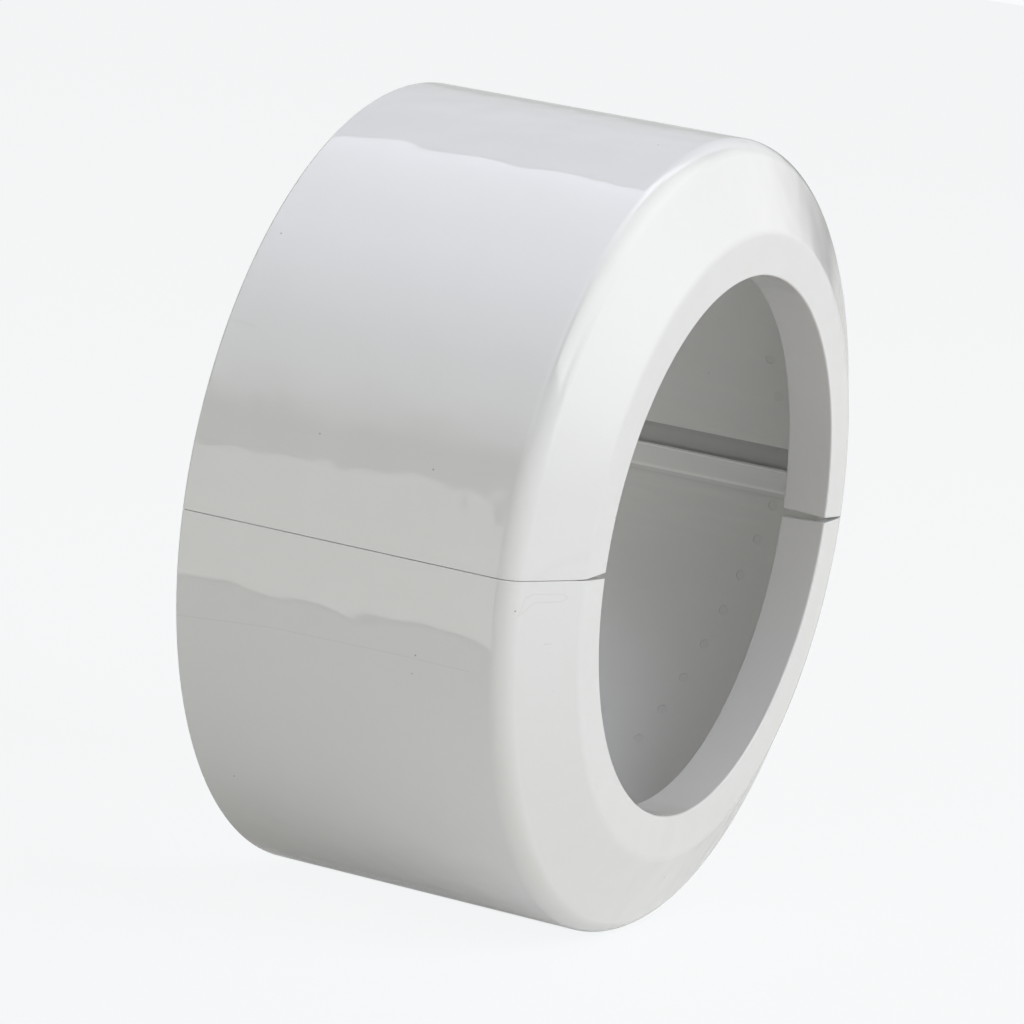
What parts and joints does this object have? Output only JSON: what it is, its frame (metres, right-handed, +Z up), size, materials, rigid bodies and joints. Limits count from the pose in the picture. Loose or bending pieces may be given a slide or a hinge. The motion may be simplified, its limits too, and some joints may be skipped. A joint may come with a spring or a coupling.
{
  "type": "split pipe escutcheon",
  "caption": "Split round cover of white plastic whose half shells close round a waste pipe and hide the gap where it enters a wall.",
  "frame": {"origin": "centre of the bore on the plane of the rim that stands against the wall", "axes": "+Y along the bore into the wall, +Z up and square to the plane on which the halves part"},
  "size_m": [0.165, 0.08, 0.165],
  "materials": {
    "white_plastic": "smooth gloss"
  },
  "bodies": {
    "lower_half": {"lower_half_shell": "white_plastic"},
    "upper_half": {"upper_half_shell": "white_plastic"}
  },
  "joints": [
    {"name": "upper_half_lift", "type": "slide", "parent": "lower_half", "child": "upper_half", "axis": [0, 0, 1], "range_m": [0, 0.1]}
  ]
}
